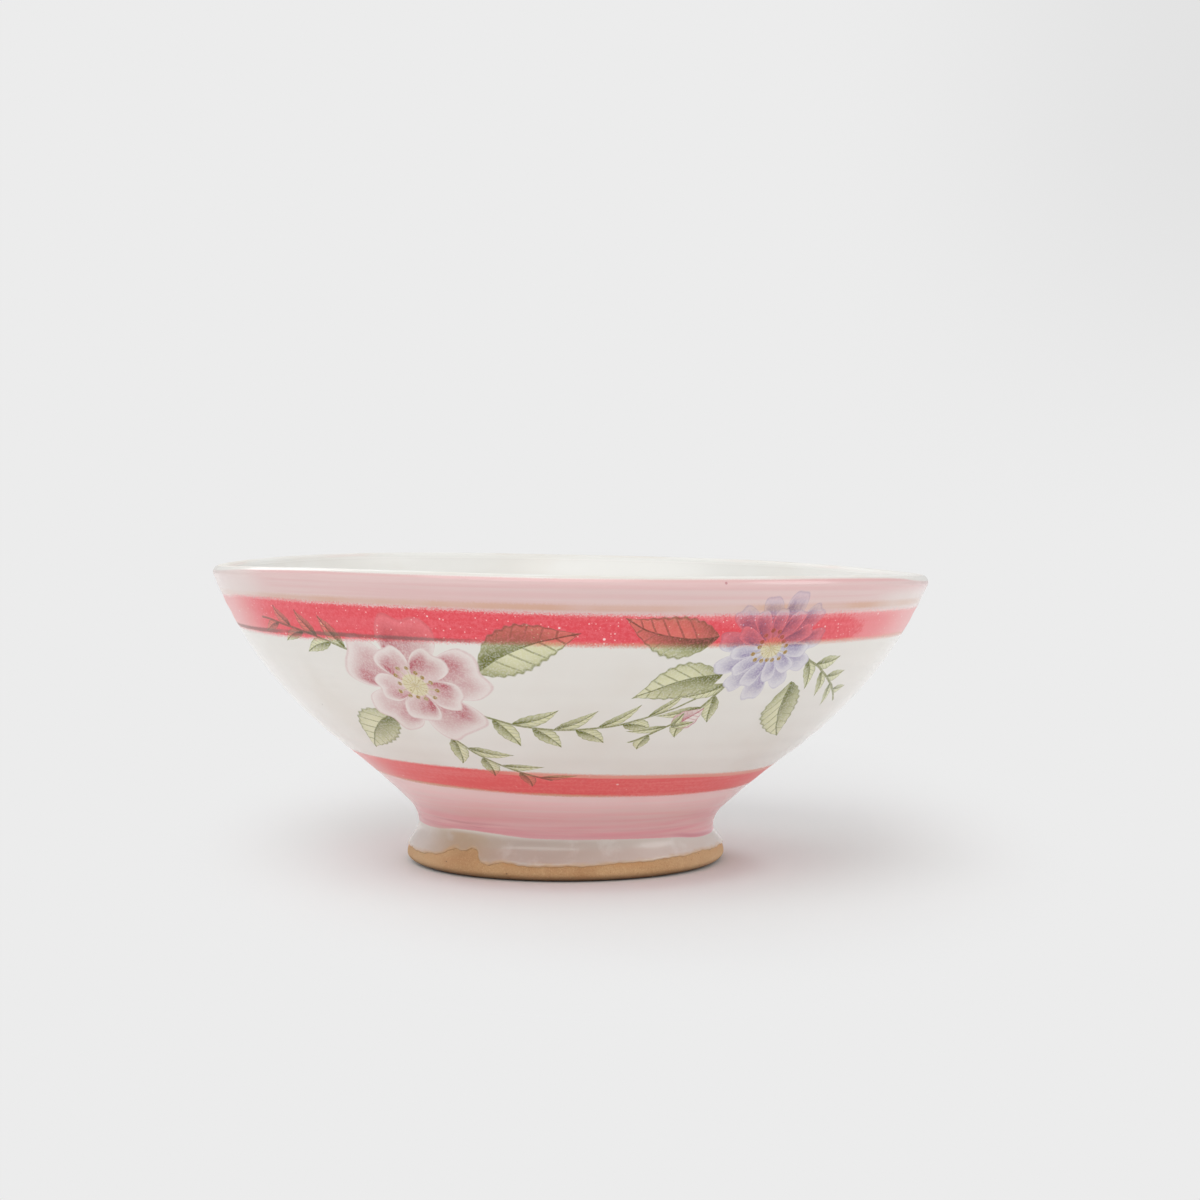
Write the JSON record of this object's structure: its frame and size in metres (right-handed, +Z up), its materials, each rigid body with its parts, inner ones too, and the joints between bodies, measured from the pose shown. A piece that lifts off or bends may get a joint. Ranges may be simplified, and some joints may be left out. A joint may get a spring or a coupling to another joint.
{
  "type": "tea bowl",
  "caption": "Wide footed tea bowl of glazed stoneware, with brushed bands of pink and red under the rim and above the foot.",
  "frame": {"origin": "centre of the ring that the foot stands on, at table height", "axes": "+Z up along the wheel's axis; -Y faces the camera of the picture and +X is to its right"},
  "size_m": [0.1498, 0.1498, 0.062],
  "materials": {
    "clay": "matt buff stoneware, fired bare, with small dark specks",
    "white_glaze": "glossy off-white glaze",
    "pink_glaze": "glossy pale pink, brushed on thinly in streaks",
    "red_glaze": "glossy warm red, brushed on with grainy edges"
  },
  "bodies": {
    "root": {"thrown_bowl": "clay", "foot_ring": "clay", "liner_glaze": "white_glaze", "rim_pink_band": "pink_glaze", "upper_red_band": "red_glaze", "white_field_glaze": "white_glaze", "lower_red_band": "red_glaze", "foot_pink_band": "pink_glaze", "foot_white_glaze": "white_glaze", "recess_glaze": "white_glaze"}
  },
  "joints": []
}
